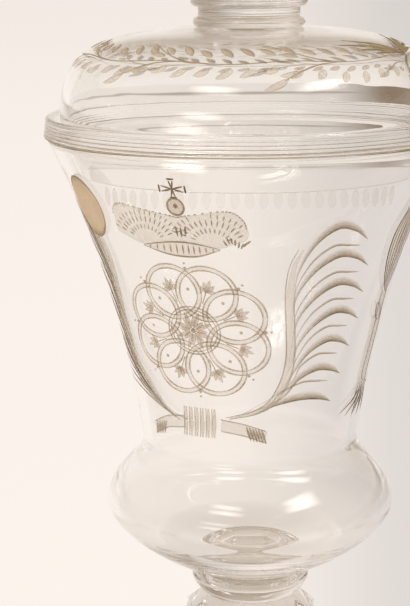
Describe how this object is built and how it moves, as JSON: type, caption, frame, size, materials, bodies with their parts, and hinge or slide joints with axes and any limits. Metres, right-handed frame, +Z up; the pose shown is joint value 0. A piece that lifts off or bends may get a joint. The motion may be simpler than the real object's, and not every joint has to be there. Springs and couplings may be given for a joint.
{
  "type": "covered glass goblet",
  "caption": "Tall covered drinking goblet of clear blown glass: bell bowl over a bulb, faceted baluster stem, domed foot, and a lift-off domed cover with a finial.",
  "frame": {"origin": "middle of the ring that the foot stands on, on the table", "axes": "+Z up along the axis of the goblet; -Y is the front, the side that the main engraving is on"},
  "size_m": [0.1244, 0.1244, 0.3458],
  "materials": {
    "clear_glass": "clear blown glass with a faint warm grey tint, fire polished",
    "cut_glass": "clear solid glass cut in polished facets",
    "engraved_glass": "matt wheel engraving, left unpolished, with a tan tone"
  },
  "bodies": {
    "goblet": {"foot": "clear_glass", "foot_merese": "clear_glass", "ball_knop": "clear_glass", "stem_merese": "clear_glass", "stem_baluster": "cut_glass", "bowl_merese": "clear_glass", "bowl": "clear_glass"},
    "cover": {"cover_dome": "clear_glass", "cover_collar": "clear_glass", "cover_merese": "clear_glass", "finial_baluster": "cut_glass", "finial_tip": "clear_glass"}
  },
  "joints": [
    {"name": "cover_lift", "type": "slide", "parent": "goblet", "child": "cover", "axis": [0, 0, 1], "range_m": [0, 0.1]}
  ]
}
